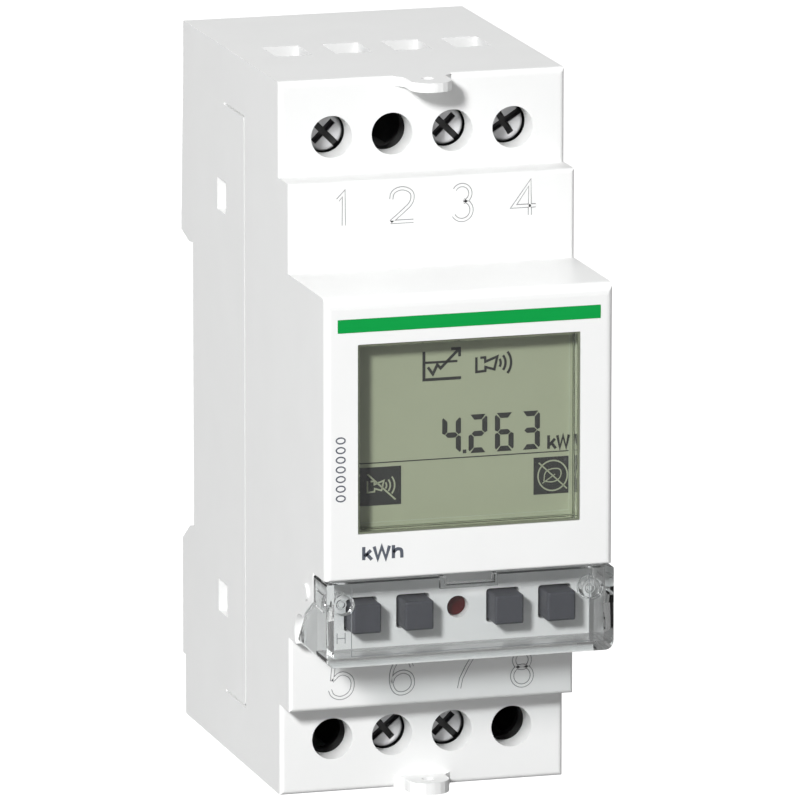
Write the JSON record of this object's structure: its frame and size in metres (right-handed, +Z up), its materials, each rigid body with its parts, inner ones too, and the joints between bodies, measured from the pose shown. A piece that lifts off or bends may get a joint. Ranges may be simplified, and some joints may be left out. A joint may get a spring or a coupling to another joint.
{
  "type": "smart electric meter",
  "caption": "Slim stepped rail-mounted electric meter with a recessed display, keys under a clear hinged flap and rising-clamp screw terminals.",
  "frame": {"origin": "centre of the seat that rests on the front of the rail", "axes": "+Y towards the rail, +Z up, -Y towards the person reading the display"},
  "size_m": [0.0366, 0.0656, 0.0884],
  "materials": {
    "white_plastic": "fine satin",
    "clear_plastic": "polished clear polycarbonate",
    "olive_plastic": "fine matte",
    "display_glass": "liquid crystal glass with a matte polariser",
    "light_guide": "milky",
    "elastomer": "layered silicone",
    "green_band": "satin",
    "switch_metal": "stamped",
    "red_lens": "clear red",
    "led": "epoxy",
    "circuit_board": "solder mask",
    "gold_pins": "plated",
    "zinc_steel": "zinc plated",
    "transformer_tape": "taped ferrite",
    "relay_case": "moulded",
    "film_box": "moulded box",
    "capacitor_sleeve": "shrink sleeve",
    "varistor_coating": "dipped epoxy",
    "resistor_body": "lacquer",
    "shunt_alloy": "manganin strip",
    "black_plastic": "moulded",
    "crystal_can": "drawn can",
    "cell_can": "pressed can",
    "grey_plastic": "glass-filled polyamide",
    "tinned_brass": "tinned",
    "clip_plastic": "acetal",
    "spring_steel": "wire",
    "button_plastic": "fine satin slate",
    "screw_steel": "phosphated, scuffed",
    "cage_steel": "zinc plated"
  },
  "bodies": {
    "housing": {"front_cover": "white_plastic", "rear_base": "white_plastic", "display_window": "clear_plastic", "display_bezel": "olive_plastic", "lcd_front_glass": "display_glass", "lcd_rear_glass": "display_glass", "backlight_guide": "light_guide", "zebra_strips": "elastomer", "green_stripe": "green_band", "switch_bodies": "switch_metal", "status_lens": "red_lens", "status_led": "led", "display_board": "circuit_board", "link_board": "circuit_board", "main_board": "circuit_board", "pin_headers": "gold_pins", "board_screws": "zinc_steel", "supply_transformer": "transformer_tape", "output_relay": "relay_case", "film_capacitor": "film_box", "electrolytic_capacitors": "capacitor_sleeve", "varistor": "varistor_coating", "fuse_resistor": "resistor_body", "current_shunt": "shunt_alloy", "measuring_chip": "black_plastic", "crystal": "crystal_can", "backup_cell": "cell_can", "terminal_carrier_top": "grey_plastic", "terminal_carrier_bottom": "grey_plastic", "contact_bars": "tinned_brass", "clip_spring": "spring_steel"},
    "flap": {"flap": "clear_plastic"},
    "rail_clip": {"din_clip": "clip_plastic"},
    "key_1": {"button_1": "button_plastic", "switch_plunger_1": "black_plastic"},
    "key_2": {"button_2": "button_plastic", "switch_plunger_2": "black_plastic"},
    "key_3": {"button_3": "button_plastic", "switch_plunger_3": "black_plastic"},
    "key_4": {"button_4": "button_plastic", "switch_plunger_4": "black_plastic"},
    "screw_1": {"terminal_screw_1": "screw_steel"},
    "cage_1": {"clamp_cage_1": "cage_steel"},
    "screw_3": {"terminal_screw_3": "screw_steel"},
    "cage_3": {"clamp_cage_3": "cage_steel"},
    "screw_4": {"terminal_screw_4": "screw_steel"},
    "cage_4": {"clamp_cage_4": "cage_steel"},
    "screw_6": {"terminal_screw_6": "screw_steel"},
    "cage_6": {"clamp_cage_6": "cage_steel"},
    "screw_7": {"terminal_screw_7": "screw_steel"},
    "cage_7": {"clamp_cage_7": "cage_steel"}
  },
  "joints": [
    {"name": "button_1_press", "type": "slide", "parent": "housing", "child": "key_1", "axis": [0, 1, 0], "range_m": [0, 0.0008], "stiffness_N_per_m": 600, "springref_m": -0.0006},
    {"name": "button_2_press", "type": "slide", "parent": "housing", "child": "key_2", "axis": [0, 1, 0], "range_m": [0, 0.0008], "stiffness_N_per_m": 600, "springref_m": -0.0006},
    {"name": "button_3_press", "type": "slide", "parent": "housing", "child": "key_3", "axis": [0, 1, 0], "range_m": [0, 0.0008], "stiffness_N_per_m": 600, "springref_m": -0.0006},
    {"name": "button_4_press", "type": "slide", "parent": "housing", "child": "key_4", "axis": [0, 1, 0], "range_m": [0, 0.0008], "stiffness_N_per_m": 600, "springref_m": -0.0006},
    {"name": "flap_hinge", "type": "hinge", "parent": "housing", "child": "flap", "pos_m": [0, -0.0492, -0.021], "axis": [1, 0, 0], "range_deg": [0, 100]},
    {"name": "rail_clip_pull", "type": "slide", "parent": "housing", "child": "rail_clip", "axis": [0, 0, -1], "range_m": [0, 0.0045], "stiffness_N_per_m": 800, "springref_m": -0.0015, "deforming": ["clip_spring"]},
    {"name": "screw_1_turn", "type": "hinge", "parent": "housing", "child": "screw_1", "pos_m": [-0.0114, -0.035, 0.0382], "axis": [0, 1, 0], "range_deg": [0, 3604]},
    {"name": "cage_1_lift", "type": "slide", "parent": "housing", "child": "cage_1", "axis": [0, -1, 0], "range_m": [0, 0.006]},
    {"name": "screw_3_turn", "type": "hinge", "parent": "housing", "child": "screw_3", "pos_m": [0.0038, -0.035, 0.0382], "axis": [0, 1, 0], "range_deg": [0, 3604]},
    {"name": "cage_3_lift", "type": "slide", "parent": "housing", "child": "cage_3", "axis": [0, -1, 0], "range_m": [0, 0.006]},
    {"name": "screw_4_turn", "type": "hinge", "parent": "housing", "child": "screw_4", "pos_m": [0.0114, -0.035, 0.0382], "axis": [0, 1, 0], "range_deg": [0, 3604]},
    {"name": "cage_4_lift", "type": "slide", "parent": "housing", "child": "cage_4", "axis": [0, -1, 0], "range_m": [0, 0.006]},
    {"name": "screw_6_turn", "type": "hinge", "parent": "housing", "child": "screw_6", "pos_m": [-0.0038, -0.035, -0.0365], "axis": [0, 1, 0], "range_deg": [0, 3604]},
    {"name": "cage_6_lift", "type": "slide", "parent": "housing", "child": "cage_6", "axis": [0, -1, 0], "range_m": [0, 0.006]},
    {"name": "screw_7_turn", "type": "hinge", "parent": "housing", "child": "screw_7", "pos_m": [0.0038, -0.035, -0.0365], "axis": [0, 1, 0], "range_deg": [0, 3604]},
    {"name": "cage_7_lift", "type": "slide", "parent": "housing", "child": "cage_7", "axis": [0, -1, 0], "range_m": [0, 0.006]}
  ],
  "couplings": [
    {"joint": "screw_1_turn", "follows": "cage_1_lift", "rad_per_m": 10472},
    {"joint": "screw_3_turn", "follows": "cage_3_lift", "rad_per_m": 10472},
    {"joint": "screw_4_turn", "follows": "cage_4_lift", "rad_per_m": 10472},
    {"joint": "screw_6_turn", "follows": "cage_6_lift", "rad_per_m": 10472},
    {"joint": "screw_7_turn", "follows": "cage_7_lift", "rad_per_m": 10472}
  ]
}
